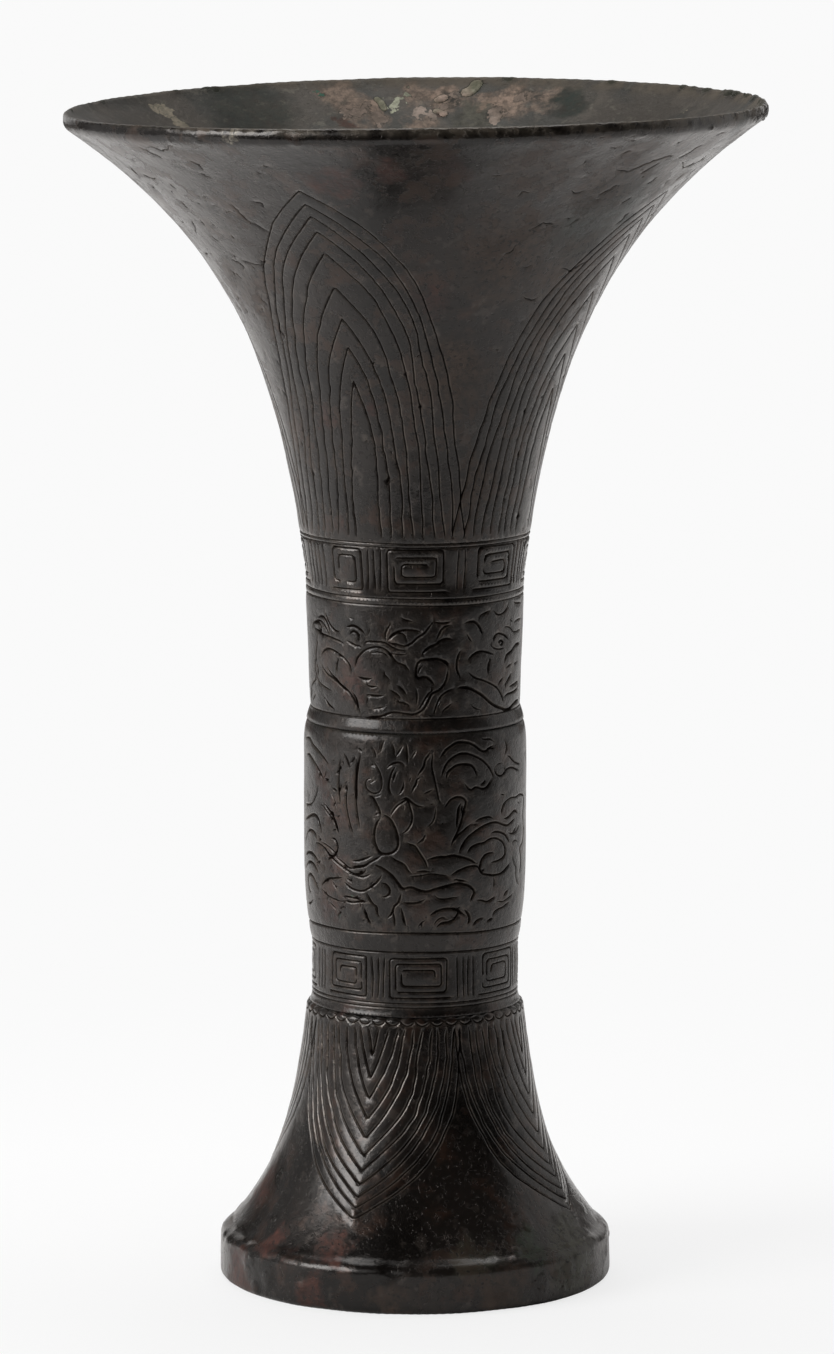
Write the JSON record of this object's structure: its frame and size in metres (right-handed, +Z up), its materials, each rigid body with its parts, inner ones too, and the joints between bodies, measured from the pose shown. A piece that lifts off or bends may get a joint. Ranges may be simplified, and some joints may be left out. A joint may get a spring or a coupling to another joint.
{
  "type": "gu vessel",
  "caption": "Tall bronze gu vessel with a trumpet mouth, a slim waist with a swelling drum and fret band, and a splayed hollow foot on an upright ring.",
  "frame": {"origin": "centre of the foot ring's underside, on the ground", "axes": "+Z up along the vessel's axis; -Y faces the picture's camera; +X to the camera's right"},
  "size_m": [0.1418, 0.1418, 0.24],
  "materials": {
    "patinated_bronze": "cast bronze, dark waxed patina, satin",
    "bare_bronze": "rough cast bronze, dull brown",
    "solder": "dull grey soft solder"
  },
  "bodies": {
    "root": {"splayed_foot": "patinated_bronze", "waist_section": "patinated_bronze", "trumpet_mouth": "patinated_bronze", "floor_disc": "bare_bronze", "lower_solder_seam": "solder", "upper_solder_seam": "solder", "floor_solder_fillet": "solder"}
  },
  "joints": []
}
